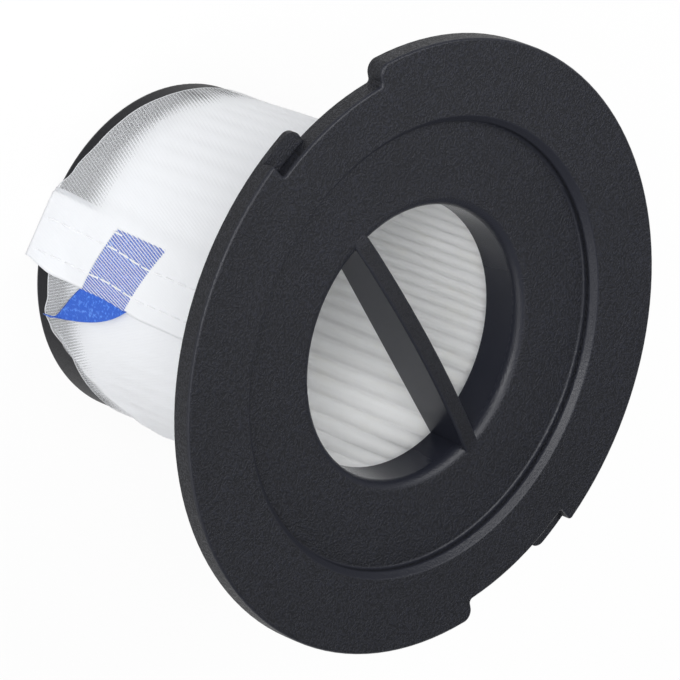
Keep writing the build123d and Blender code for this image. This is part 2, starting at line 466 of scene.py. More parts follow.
class SoftFibres(EffectGroup):
    """Tangle of soft fibres, as on paper, thread and set glue."""

    name = "soft_fibres"
    inputs = {"Fibre Scale": 900.0, "Stretch": 0.25}
    outputs = ("Height", "Tone", "Streak")
    tone_size: float = 0.12
    tone_range: Pair = (0.3, 0.7)
    streak_size: float = 0.3
    streak_range: Pair = (0.35, 0.65)

    def wire(self, wiring: Wiring, given: bpy.types.NodeOutputs) -> dict[str, bpy.types.NodeSocket]:
        """A fine tangle, a broad tone, and streaks drawn out along the axis.

        Args:
            wiring: tree of the group.
            given: the group's inputs.

        Returns:
            A socket for each output.
        """
        place = wiring.place()
        spread = wiring.node("ShaderNodeCombineXYZ")
        wiring.feed(spread, X=1.0, Y=1.0, Z=given["Stretch"])
        drawn = wiring.node("ShaderNodeVectorMath", operation="MULTIPLY")
        wiring.join(place, drawn.inputs[0])
        wiring.join(spread.outputs[0], drawn.inputs[1])
        fine = wiring.noise(given["Fibre Scale"], 4.0, place)
        tone_scale = wiring.math("MULTIPLY", given["Fibre Scale"], self.tone_size)
        tone = wiring.ramp(wiring.noise(tone_scale, 3.0, place), *self.tone_range)
        streak_scale = wiring.math("MULTIPLY", given["Fibre Scale"], self.streak_size)
        streak = wiring.ramp(wiring.noise(streak_scale, 2.0, drawn.outputs[0]), *self.streak_range)
        return {"Height": fine, "Tone": tone, "Streak": streak}


class Finish:
    """Finish of a surface, which makes one material."""

    name: str

    def material(self) -> bpy.types.Material:
        """The finish's material, made on first use.

        Returns:
            The material.
        """
        known = bpy.data.materials.get(self.name)
        if known:
            return known
        made = bpy.data.materials.new(self.name)
        made.use_nodes = True
        shader = made.node_tree.nodes["Principled BSDF"]
        self.wire(Wiring(made.node_tree), shader)
        return made

    def wire(self, wiring: Wiring, shader: bpy.types.Node) -> None:
        """Feeds the finish's detail to the shader."""
        raise NotImplementedError

    def raise_grain(self, wiring: Wiring, shader: bpy.types.Node, height: object, depth: float) -> None:
        """Puts a height in metres on the shader's normal.

        Args:
            wiring: tree that holds the shader.
            shader: node that takes the normal.
            height: socket with a height from 0 to 1.
            depth: how high 1 stands, in metres.
        """
        bump = wiring.node("ShaderNodeBump")
        wiring.feed(bump, Height=height, Distance=depth)
        wiring.join(bump.outputs["Normal"], shader.inputs["Normal"])


@dataclass(frozen=True)
class MouldedPlastic(Finish):
    """Black moulded plastic: grained, but smooth on the steep walls near the axis and glossy on its edges;
    painted highlight pales the edges, painted reflection pales the smooth walls, and painted shade darkens
    the grain near the axis.
    """

    name: str
    colour: Colour
    # Paler colour of the grain's crowns, also painted on the edges as highlight and on the smooth walls as
    # reflection.
    pale: Colour
    roughness: Pair
    pit_scale: float
    pit_depth: float
    gloss_level: float
    smooth_radius: float = 0.0
    smooth_roughness: float = 0.24
    # Share of the grain's paling kept inside the smooth radius, where the bar's crown is darkened as painted
    # shade.
    inner_painted_shade: float = 0.45
    # Share of the pale colour on the smooth walls near the axis: painted reflection.
    smooth_painted_sheen: float = 1.0
    edge_roughness: float = 0.32
    # Share of the edge mask, which takes the edges' pits, makes them glossier and pales them as painted
    # highlight.
    edge_polish_and_highlight: float = 0.8
    blotch_wear: Pair = (0.7, 1.0)
    steep_levels: Pair = (0.15, 0.4)
    wall_levels: Pair = (0.05, 0.2)
    face_levels: Pair = (0.98, 0.92)
    smooth_fade: float = 0.5 * MM

    def wire(self, wiring: Wiring, shader: bpy.types.Node) -> None:
        """The pits' crowns are paler and smoother than their floors, and the edges lose most of their pits.
        The edges take the pale colour as painted highlight, the smooth walls take it as painted reflection,
        and near the axis the grain is kept darker as painted shade.

        Args:
            wiring: tree of the material.
            shader: its Principled shader.
        """
        grain = MouldedGrain().use(wiring, Pit_Scale=self.pit_scale)
        outside = self.outside(wiring)
        level = self.level(wiring)
        grained = wiring.math("MAXIMUM", wiring.ramp(level, *self.steep_levels), outside)
        # Painted highlight: the rounds and bevels are paled below, besides losing their pits and their
        # roughness.
        edge = wiring.math("MULTIPLY", self.rounded(wiring, level), self.edge_polish_and_highlight)
        kept = wiring.math("MULTIPLY", grained, wiring.math("SUBTRACT", 1.0, edge))
        pits = wiring.math("MULTIPLY", grain["Pits"], kept)
        paled = wiring.math("MULTIPLY", pits, wiring.blend_value(grain["Blotch"], *self.blotch_wear))
        # Painted shade: inside the smooth radius the grain's crowns stay darker.
        shaded_grain_paling = wiring.math("MULTIPLY", paled, wiring.blend_value(outside, self.inner_painted_shade, 1.0))
        # The smooth walls take the pale colour as painted reflection and the edges take it as painted
        # highlight; elsewhere the grain's crowns pale it.
        grain_paling_and_painted_light = wiring.math("MAXIMUM", wiring.blend_value(grained, self.smooth_painted_sheen, shaded_grain_paling), edge)
        wiring.join(wiring.blend(grain_paling_and_painted_light, (*self.colour, 1), (*self.pale, 1)), shader.inputs["Base Color"])
        rough = wiring.blend_value(grain["Pits"], *self.roughness)
        moulded = wiring.blend_value(grained, self.smooth_roughness, rough)
        wiring.join(wiring.blend_value(edge, moulded, self.edge_roughness), shader.inputs["Roughness"])
        shader.inputs["Specular IOR Level"].default_value = self.gloss_level
        self.raise_grain(wiring, shader, pits, self.pit_depth)

    def outside(self, wiring: Wiring) -> bpy.types.NodeSocket:
        """Mask of what lies outside the smooth radius.

        Args:
            wiring: tree of the material.

        Returns:
            The mask's socket.
        """
        place = wiring.parts(wiring.place())
        squares = [wiring.math("MULTIPLY", place[axis], place[axis]) for axis in "XY"]
        radius = wiring.math("SQRT", wiring.math("ADD", *squares))
        return wiring.ramp(radius, self.smooth_radius, self.smooth_radius + self.smooth_fade)

    def level(self, wiring: Wiring) -> bpy.types.NodeSocket:
        """How level the surface lies, from 0 on a wall to 1 on a flat face."""
        normal = wiring.parts(wiring.node("ShaderNodeNewGeometry").outputs["True Normal"])
        return wiring.math("ABSOLUTE", normal["Z"])

    def rounded(self, wiring: Wiring, level: bpy.types.NodeSocket) -> bpy.types.NodeSocket:
        """Mask of the rounds and bevels, which are neither level nor upright."""
        off_wall = wiring.ramp(level, *self.wall_levels)
        return wiring.math("MULTIPLY", off_wall, wiring.ramp(level, *self.face_levels))


@dataclass(frozen=True)
class FilterPaper(Finish):
    """White filter paper with fibres and a faint warm tone here and there."""

    name: str
    colour: Colour
    warm: Colour
    fibre_depth: float
    roughness: float = 0.9
    gloss_level: float = 0.2
    fibre_scale: float = 1500.0
    fibre_stretch: float = 0.08
    light_through: float = 0.85
    light_reach: float = 2.0 * MM

    def wire(self, wiring: Wiring, shader: bpy.types.Node) -> None:
        """Streaks along the folds tint the paper, and the tangle roughens it.

        Args:
            wiring: tree of the material.
            shader: its Principled shader.
        """
        fibres = SoftFibres().use(wiring, Fibre_Scale=self.fibre_scale, Stretch=self.fibre_stretch)
        tint = wiring.math("MULTIPLY", fibres["Streak"], fibres["Tone"])
        wiring.join(wiring.blend(tint, (*self.colour, 1), (*self.warm, 1)), shader.inputs["Base Color"])
        shader.inputs["Roughness"].default_value = self.roughness
        shader.inputs["Specular IOR Level"].default_value = self.gloss_level
        shader.inputs["Subsurface Weight"].default_value = self.light_through
        shader.inputs["Subsurface Radius"].default_value = (1, 1, 1)
        shader.inputs["Subsurface Scale"].default_value = self.light_reach
        self.raise_grain(wiring, shader, fibres["Height"], self.fibre_depth)


@dataclass(frozen=True)
class WovenCloth(Finish):
    """Woven cloth: threads darkened away from their crowns as painted shade, see-through between them where
    it is sheer.
    """

    name: str
    thread: Colour
    thread_shade: Colour
    cover: ClothCover
    pitch: Pair
    fill: Pair
    thread_depth: float
    roughness: Pair
    sheen: float
    fleck: Colour
    gloss_level: float = 0.3
    cut_edge: float = 0.16
    open_edge: float = 0.06

    def wire(self, wiring: Wiring, shader: bpy.types.Node) -> None:
        """The weave sets colour, roughness and relief, and on sheer cloth the gaps; the colour is darker off
        the threads' crowns as painted shade.

        Args:
            wiring: tree of the material.
            shader: its Principled shader.
        """
        sheer = self.cover is ClothCover.SHEER
        warp_fill, weft_fill = self.stored_fill(wiring) if sheer else self.fill
        weave = ThreadWeave().use(
            wiring,
            Warp_Pitch=self.pitch[0],
            Weft_Pitch=self.pitch[1],
            Warp_Fill=warp_fill,
            Weft_Fill=weft_fill,
        )
        # Painted shade: the colour darkens from the threads' crowns to their sides and to the gaps between
        # them.
        woven = wiring.blend(weave["Height"], (*self.thread_shade, 1), (*self.thread, 1))
        wiring.join(wiring.blend(weave["Slub"], woven, (*self.fleck, 1)), shader.inputs["Base Color"])
        wiring.join(wiring.blend_value(weave["Slub"], *self.roughness), shader.inputs["Roughness"])
        shader.inputs["Sheen Weight"].default_value = self.sheen
        shader.inputs["Specular IOR Level"].default_value = self.gloss_level
        if sheer:
            edge = wiring.node("ShaderNodeAttribute", attribute_name=FROM_HEM).outputs["Fac"]
            sealed = wiring.math("LESS_THAN", edge, self.cut_edge)
            wiring.join(wiring.math("MAXIMUM", weave["Cover"], sealed), shader.inputs["Alpha"])
        self.raise_grain(wiring, shader, weave["Height"], self.thread_depth)

    def stored_fill(self, wiring: Wiring) -> tuple[bpy.types.NodeSocket, bpy.types.NodeSocket]:
        """Shares that warp and weft close: the mesh's stored ones, and the cloth's own over the ribbon.

        Args:
            wiring: tree of the material.

        Returns:
            Sockets for the warp and the weft.
        """
        stored = wiring.node("ShaderNodeAttribute", attribute_name=THREAD_FILL).outputs["Vector"]
        shares = wiring.parts(stored)
        open_share = wiring.ramp(shares["Z"], 0.0, self.open_edge)
        warp, weft = (wiring.blend_value(open_share, shares[axis], own) for axis, own in zip("XY", self.fill))
        return warp, weft


@dataclass(frozen=True)
class FibreFinish(Finish):
    """Plain fibrous or waxy stuff, such as sewing thread and hot-melt."""

    name: str
    colour: Colour
    shade: Colour
    fibre_scale: float
    fibre_depth: float
    roughness: Pair

    def wire(self, wiring: Wiring, shader: bpy.types.Node) -> None:
        """The broad tone sets the colour and the gloss, and the tangle the relief.

        Args:
            wiring: tree of the material.
            shader: its Principled shader.
        """
        fibres = SoftFibres().use(wiring, Fibre_Scale=self.fibre_scale)
        toned = wiring.blend(fibres["Tone"], (*self.colour, 1), (*self.shade, 1))
        wiring.join(toned, shader.inputs["Base Color"])
        wiring.join(wiring.blend_value(fibres["Streak"], *self.roughness), shader.inputs["Roughness"])
        self.raise_grain(wiring, shader, fibres["Height"], self.fibre_depth)


GRAINED_BLACK = MouldedPlastic(
    name="flange_black",
    colour=(0.0055, 0.0061, 0.0088),
    pale=(0.0158, 0.0172, 0.0252),
    roughness=(0.6, 0.42),
    pit_scale=3480.0,
    pit_depth=0.1 * MM,
    gloss_level=0.34,
    smooth_radius=21.6 * MM,
)
SATIN_BLACK = MouldedPlastic(
    name="cap_black",
    colour=(0.0075, 0.0078, 0.0105),
    pale=(0.011, 0.0114, 0.0152),
    roughness=(0.55, 0.48),
    pit_scale=4200.0,
    pit_depth=0.012 * MM,
    gloss_level=0.2,
)
PLEAT_PAPER = FilterPaper(
    name="pleat_paper_white",
    colour=(0.915, 0.93, 0.95),
    warm=(0.905, 0.905, 0.87),
    fibre_depth=0.05 * MM,
)
SHEER_MESH = WovenCloth(
    name="sleeve_mesh_white",
    thread=(0.885, 0.9, 0.927),
    thread_shade=(0.87, 0.885, 0.915),
    cover=ClothCover.SHEER,
    pitch=(0.45, 0.2),
    fill=(0.22, 0.1),
    thread_depth=0.015 * MM,
    roughness=(0.5, 0.65),
    sheen=0.1,
    fleck=(0.885, 0.9, 0.927),
)
SEAM_WHITE = WovenCloth(
    name="seam_layers_white",
    thread=(0.865, 0.875, 0.91),
    thread_shade=(0.845, 0.86, 0.895),
    cover=ClothCover.CLOSED,
    pitch=(0.47, 0.24),
    fill=(0.8, 0.6),
    thread_depth=0.02 * MM,
    roughness=(0.6, 0.75),
    sheen=0.1,
    fleck=(0.865, 0.875, 0.91),
)
RIBBON_BLUE = WovenCloth(
    name="ribbon_blue",
    thread=(0.026, 0.14, 0.70),
    thread_shade=(0.016, 0.08, 0.5),
    cover=ClothCover.CLOSED,
    pitch=(0.24, 0.34),
    fill=(0.9, 0.7),
    thread_depth=0.03 * MM,
    roughness=(0.45, 0.28),
    sheen=0.0,
    fleck=(0.09, 0.27, 0.82),
)
THREAD_WHITE = FibreFinish(
    name="sewing_thread_white",
    colour=(0.93, 0.94, 0.965),
    shade=(0.89, 0.9, 0.93),
    fibre_scale=6000.0,
    fibre_depth=0.03 * MM,
    roughness=(0.5, 0.7),
)
HOT_MELT = FibreFinish(
    name="hot_melt_cream",
    colour=(0.78, 0.74, 0.62),
    shade=(0.70, 0.66, 0.54),
    fibre_scale=500.0,
    fibre_depth=0.08 * MM,
    roughness=(0.3, 0.45),
)


def dress(piece: bpy.types.Object, finish: Finish) -> None:
    """Gives a piece one finish."""
    piece.data.materials.clear()
    piece.data.materials.append(finish.material())


def place_piece(piece: bpy.types.Object) -> None:
    """Lets a piece ride on the filter.

    Args:
        piece: piece to place.
    """
    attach(piece, BODY)
    LOG.info("%s: %d faces", piece.name, len(piece.data.polygons))


@dataclass
class MouldedParts:
    """The two mouldings and the beds of hot-melt, which keep the form of their solids."""

    finishes: dict[str, Finish] = field(
        default_factory=lambda: {
            "flange": GRAINED_BLACK,
            "end_cap": SATIN_BLACK,
            "upper_adhesive": HOT_MELT,
            "lower_adhesive": HOT_MELT,
        }
    )

    def build(self) -> None:
        """Dresses each solid."""
        for name, finish in self.finishes.items():
            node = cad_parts[name]
            dress(node, finish)
            LOG.info("%s: %d faces", name, len(node.data.polygons))


@dataclass
class PleatPack:
    """Ring of pleated paper whose fold lines wander a little."""

    pleats: int = PLEATS
    bunching: float = 0.35
    wide_angle: float = 145.0
    paper: float = 0.5 * MM
    fold_fullness: float = 0.4
    slit_share: float = 0.75
    rows: int = 26
    crest_steps: int = 9
    sway: float = 0.16 * MM
    sway_step: Pair = (3.7, 14.0 * MM)
    low: Vector = field(default_factory=lambda: Vector(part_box("pleated_media")[0]))
    high: Vector = field(default_factory=lambda: Vector(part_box("pleated_media")[1]))
    depth: float = 2.97 * MM
    outer_radius: float = 25.35 * MM

    def fold_angle(self, step: int) -> float:
        """Angle of a fold in radians: the pleats bunch up on two opposite sides."""
        even = math.pi * step / self.pleats
        return even + self.bunching / 2 * math.sin(2 * (even - math.radians(self.wide_angle)))

    def fold_round(self, step: int) -> float:
        """Radius of a fold's round: inside, the folds fill most of the gap between their neighbours.

        Args:
            step: number of the fold.

        Returns:
            The radius.
        """
        if step % 2 == PaperSide.OUTER.value:
            return self.paper
        gap = self.fold_angle(step + 1) - self.fold_angle(step - 1)
        return self.fold_fullness * gap * (self.outer_radius - self.depth)

    def crease(self, step: int, height: float, side: PaperSide) -> Vector:
        """Crease of a fold at a height on one side of the paper.

        Even folds point inwards and odd ones outwards. Inside, the pleats press together, so the slits
        between them are shallow.

        Args:
            step: number of the fold.
            height: height of the crease.
            side: side of the paper.

        Returns:
            The crease's point.
        """
        radius = self.outer_radius - self.depth + self.fold_round(step)
        if step % 2 == PaperSide.OUTER.value:
            slit = self.outer_radius - self.depth + self.slit_share * self.fold_round(step - 1)
            radius = slit if side is PaperSide.INNER else self.outer_radius - self.paper
        fold = step % (2 * self.pleats)
        drift = noise.noise(Vector((fold * self.sway_step[0], height / self.sway_step[1], 0.5)))
        degrees = math.degrees(self.fold_angle(fold) + drift * self.sway / radius)
        return round_axis(radius, degrees, height)

    def crest(self, creases: list[Vector], step: int, side: PaperSide) -> list[Vector]:
        """Points of one fold on one side of the paper.

        Args:
            creases: all creases at the same height.
            step: number of the fold.
            side: side of the paper.

        Returns:
            The round's points where the fold is round on that side, or its crease alone.
        """
        centre = creases[step]
        if step % 2 != side.value:
            return [centre]
        outwards = math.atan2(centre.y, centre.x) + (math.pi if side is PaperSide.INNER else 0.0)
        radius = self.fold_round(step)
        turns = []
        hand = 1 if side is PaperSide.OUTER else -1
        for neighbour, turn in ((creases[step - 1], hand), (creases[(step + 1) % len(creases)], -hand)):
            leg = neighbour - centre
            bearing = math.atan2(leg.y, leg.x) + turn * math.acos(radius / leg.length)
            turns.append(math.remainder(bearing - outwards, math.tau))
        points = []
        for index in range(self.crest_steps):
            bearing = outwards + mix(turns[0], turns[1], index / (self.crest_steps - 1))
            points.append(centre + Vector((math.cos(bearing), math.sin(bearing), 0)) * radius)
        return points

    def build(self) -> bpy.types.Object:
        """Makes the folded paper and puts it in place of its solid.

        Returns:
            The piece.
        """
        folds = range(2 * self.pleats)
        points: list[Vector] = []
        loops: FoldLoops = {side: [] for side in PaperSide}
        for row in range(self.rows):
            height = mix(self.low.z, self.high.z, row / (self.rows - 1))
            for side in PaperSide:
                creases = [self.crease(step, height, side) for step in folds]
                ring = []
                for step in folds:
                    crest = self.crest(creases, step, side)
                    ring.append(list(range(len(points), len(points) + len(crest))))
                    points.extend(crest)
                loops[side].append(ring)
        faces = self.wall_faces(loops) + self.edge_faces(loops)
        mesh = bpy.data.meshes.new("pleat_paper")
        mesh.from_pydata(points, [], faces)
        piece = new_piece("pleat_paper", mesh)
        dress(piece, PLEAT_PAPER)
        place_piece(piece)
        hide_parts("pleated_media")
        return piece

    def wall_faces(self, loops: FoldLoops) -> list[tuple[int, ...]]:
        """Quads of both sides of the paper, facing away from it.

        Args:
            loops: numbers of the points, by side, row and fold.

        Returns:
            The faces, as numbers of points.
        """
        faces = []
        for side, rings in loops.items():
            for low_ring, high_ring in zip(rings, rings[1:]):
                low = [index for fold in low_ring for index in fold]
                high = [index for fold in high_ring for index in fold]
                for here in range(len(low)):
                    ahead = (here + 1) % len(low)
                    quad = (low[here], low[ahead], high[ahead], high[here])
                    faces.append(quad if side is PaperSide.OUTER else quad[::-1])
        return faces

    def edge_faces(self, loops: FoldLoops) -> list[tuple[int, ...]]:
        """Faces of the paper's two cut edges, one for each fold and each leg.

        Args:
            loops: numbers of the points, by side, row and fold.

        Returns:
            The faces, as numbers of points.
        """
        faces = []
        for row, upwards in ((0, False), (-1, True)):
            outer = loops[PaperSide.OUTER][row]
            inner = loops[PaperSide.INNER][row]
            for step in range(len(outer)):
                ahead = (step + 1) % len(outer)
                fold = (*outer[step], *reversed(inner[step]))
                leg = (outer[step][-1], outer[ahead][0], inner[ahead][0], inner[step][-1])
                for face in (fold, leg):
                    faces.append(face[::-1] if upwards else face)
        return faces


@dataclass
class SleeveWall:
    """Form of the mesh sleeve: a tube from the cap to the flange's skirt, lapped along one seam.

    Angles of the single layer run on past a full turn, from the hidden start of the cloth under the
    seam to the seam band's first edge.
    """

    cap_radius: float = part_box("end_cap")[1][0] + CLOTH_SLACK
    skirt_radius: float = 27.45 * MM
    flare_start: float = 10.0 * MM
    flare_end: float = 46.4 * MM
    top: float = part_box("mesh_sleeve")[1][2]
    hem: tuple[Pair, ...] = round_stations(
        (30, 3.3), (60, 3.2), (67, 2.2), (72, 3.0), (82, 6.4), (104, 6.2), (150, 4.6), (205, 5.6),
        (260, 4.4), (325, 4.2), (352, 3.0), (366, 2.7), (378, 1.7), (385, 0.6),
    )
    tuck: tuple[Pair, ...] = round_stations(
        (30, 6.0), (60, 5.0), (67, 2.6), (71, 3.5), (76, 5.9), (83, 8.3), (92, 10.3), (104, 14.4),
        (118, 18.0), (140, 14.0), (205, 9.0), (385, 5.0),
    )
    tuck_rise: float = 0.75 * MM
    tuck_slack: float = 3.6 * MM
    tuck_start: Pair = (66.0, 80.0)
    tuck_end: Pair = (110.0, 136.0)
    band_edge: tuple[Pair, ...] = (
        (1.0 * MM, 26.5),
        (15.0 * MM, 28.0),
        (27.0 * MM, 30.6),
        (50.0 * MM, 32.0),
    )
    band_width: float = 11.9 * MM
    foot_width: float = 10.4 * MM
    band_foot: float = 0.25 * MM
    band_lift: float = 0.52 * MM
    lift_reach: float = 7.0
    flat_below: float = 0.3 * MM
    wrapped_above: float = 9.0 * MM
    full_width_share: float = 0.7
    least_wrap: float = 0.001
    past_band: Pair = (60.0, 70.0)
    before_band: Pair = (370.0, 380.0)
    settling: float = 6.0 * MM
    ruffle: float = 0.12 * MM
    ruffle_step: Pair = (16.0, 22.0 * MM)
    ruffle_row: float = 3.1
    pleat_print: float = 0.05 * MM
    print_rise: Pair = (11.0 * MM, 18.0 * MM)
    pleats: int = PLEATS

    def seat_radius(self, height: float) -> float:
        """Radius of the sleeve at a height, without its creases."""
        share = min(1.0, max(0.0, (height - self.flare_start) / (self.flare_end - self.flare_start)))
        return mix(self.cap_radius, self.skirt_radius, share)

    def crease_lift(self, degrees: float, height: float) -> float:
        """How far the single layer stands off: soft ruffles, and one slanting tuck by the hem.

        Args:
            degrees: angle on the sleeve.
            height: height on the sleeve.

        Returns:
            The distance out from the plain tube.
        """
        wave = Vector((degrees / self.ruffle_step[0], height / self.ruffle_step[1], self.ruffle_row))
        ruffle = self.ruffle * max(0.0, noise.noise(wave))
        beside_band = smooth_step(degrees, *self.past_band) * (1 - smooth_step(degrees, *self.before_band))
        settled = 1 - smooth_step(height, self.flare_end - self.settling, self.flare_end)
        over_pleats = smooth_step(height, *self.print_rise) * math.cos(math.radians(degrees * self.pleats))
        soft = ruffle + self.pleat_print * over_pleats
        return (soft * beside_band + self.tuck_lift(degrees, height)) * settled

    def tuck_lift(self, degrees: float, height: float) -> float:
        """How far the tuck stands off: all at once at its fold, and less and less above it.

        Args:
            degrees: angle on the sleeve.
            height: height on the sleeve.

        Returns:
            The distance out from the plain tube.
        """
        along = smooth_step(degrees, *self.tuck_start) * (1 - smooth_step(degrees, *self.tuck_end))
        above = (height - along_stations(self.tuck, degrees)) / self.tuck_slack
        if above < 0:
            return 0.0
        return self.tuck_rise * along * math.exp(-above * above)

    def edge_angle(self, height: float) -> float:
        """Angle of the seam band's first edge at a height."""
        return along_stations(self.band_edge, height)

    def width_at(self, height: float) -> float:
        """Width of the seam band, which is cut a little narrower at its free foot."""
        share = smooth_step(height, 0, self.full_width_share * self.wrapped_above)
        return mix(self.foot_width, self.band_width, share)

    def tube_point(self, degrees: float, height: float, lift: float = 0.0) -> Vector:
        """Point of the sleeve's single layer, lifted off it."""
        radius = self.seat_radius(height) + self.crease_lift(degrees, height) + lift
        return round_axis(radius, degrees, height)

    def band_point(self, across: float, height: float, lift: float) -> Vector:
        """Point of the seam band, which is flat at its free foot and wraps round the sleeve above it.

        Args:
            across: distance from the band's first edge, round the sleeve.
            height: height on the sleeve.
            lift: distance out from the sleeve's single layer.

        Returns:
            The point.
        """
        radius = self.seat_radius(height) + lift
        start = self.edge_angle(height)
        bend = smooth_step(height, self.flat_below, self.wrapped_above) / radius
        outwards = round_axis(1.0, start, 0.0)
        onwards = round_axis(1.0, start + 90, 0.0)
        base = outwards * radius + Vector((0, 0, height))
        if bend * radius < self.least_wrap:
            return base + onwards * across
        turn = across * bend
        return base + (onwards * math.sin(turn) + outwards * (math.cos(turn) - 1)) / bend


@dataclass
class MeshSleeve:
    """Sheer sleeve: one cloth wrapped round the pleats, whose end laps over its start."""

    wall: SleeveWall
    ribbon: "PullRibbon"
    start: float = 33.0
    columns: int = 330
    band_columns: int = 26
    rows_below_tuck: int = 14
    rows_above_tuck: int = 56
    tuck_edge: float = 0.1 * MM
    bias: float = 22.5
    bias_span: Pair = (40.0, 380.0)
    beside_ribbon: float = -1.0
    cloth: float = 0.05 * MM
    hem_fill: Pair = (0.11, 0.25)
    closed_fill: Pair = (0.95, 0.8)
    closing: Pair = (6.5 * MM, 13.5 * MM)

    def build(self) -> bpy.types.Object:
        """Makes the cloth and puts it in place of its solid.

        Returns:
            The piece.
        """
        rows = []
        threads = []
        from_hem = []
        fills = []
        for row in range(self.rows_below_tuck + self.rows_above_tuck):
            line = []
            places = []
            for column in range(self.columns + self.band_columns):
                if column < self.columns:
                    point, place, hem = self.tube_spot(row, column / self.columns)
                    shares = mix_pair(self.hem_fill, self.closed_fill, smooth_step(point.z, *self.closing))
                    over_ribbon = self.beside_ribbon
                else:
                    point, place, hem = self.band_spot(row, (column - self.columns) / (self.band_columns - 1))
                    shares = self.closed_fill
                    over_ribbon = self.ribbon.inside_at(point)
                fills.extend((*shares, over_ribbon))
                line.append(point)
                places.append(place)
                from_hem.append((point.z - hem) / MM)
            rows.append(line)
            threads.append(places)
        piece = quad_sheet("sleeve_cloth", rows, threads)
        piece.data.attributes.new(FROM_HEM, "FLOAT", "POINT").data.foreach_set("value", from_hem)
        piece.data.attributes.new(THREAD_FILL, "FLOAT_VECTOR", "POINT").data.foreach_set("vector", fills)
        thicken(piece, self.cloth)
        dress(piece, SHEER_MESH)
        place_piece(piece)
        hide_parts("mesh_sleeve")
        return piece

    def row_height(self, row: int, hem: float, tuck: float) -> float:
        """Height of a row, which rises from the hem to the tuck's fold and from there to the top.

        Args:
            row: number of the row.
            hem: height of the hem there.
            tuck: height of the tuck's fold there.

        Returns:
            The height.
        """
        if row < self.rows_below_tuck:
            return mix(hem, tuck - self.tuck_edge, row / (self.rows_below_tuck - 1))
        return mix(tuck, self.wall.top, (row - self.rows_below_tuck) / (self.rows_above_tuck - 1))

    def thread_place(self, degrees: float, height: float) -> Pair:
        """Place on the flat cloth, in millimetres along its own threads.

        The cloth lies across the bias, leaning one way at its start and the other way at its end.

        Args:
            degrees: angle on the sleeve.
            height: height on the sleeve.

        Returns:
            The places along the weft and the warp.
        """
        lean = math.radians(mix(-self.bias, self.bias, smooth_step(degrees, *self.bias_span)))
        around = math.radians(degrees) * self.wall.cap_radius / MM
        up = height / MM
        return around * math.cos(lean) - up * math.sin(lean), up * math.cos(lean) + around * math.sin(lean)

    def tube_spot(self, row: int, around: float) -> tuple[Vector, Pair, float]:
        """Point, flat place and hem height of the single layer at a row and a share of the way round.

        Args:
            row: number of the row.
            around: share of the way round.

        Returns:
            The point, its flat place and the hem's height.
        """
        wall = self.wall
        degrees = mix(self.start, 360 + wall.edge_angle(wall.flare_start), around)
        hem = along_stations(wall.hem, degrees)
        height = self.row_height(row, hem, along_stations(wall.tuck, degrees))
        end = 360 + wall.edge_angle(height)
        degrees = mix(self.start, end, around)
        lift = wall.band_lift * smooth_step(degrees, end - wall.lift_reach, end)
        return wall.tube_point(degrees, height, lift), self.thread_place(degrees, height), hem

    def band_spot(self, row: int, across: float) -> tuple[Vector, Pair, float]:
        """Point, flat place and foot height of the lapped layer at a row and a share of its width.

        Args:
            row: number of the row.
            across: share of the band's width.

        Returns:
            The point, its flat place and the foot's height.
        """
        wall = self.wall
        height = self.row_height(row, wall.band_foot, wall.tuck[-1][1])
        aside = wall.width_at(height) * across
        degrees = 360 + wall.edge_angle(height) + math.degrees(aside / wall.cap_radius)
        point = wall.band_point(aside, height, wall.band_lift)
        return point, self.thread_place(degrees, height), wall.band_foot


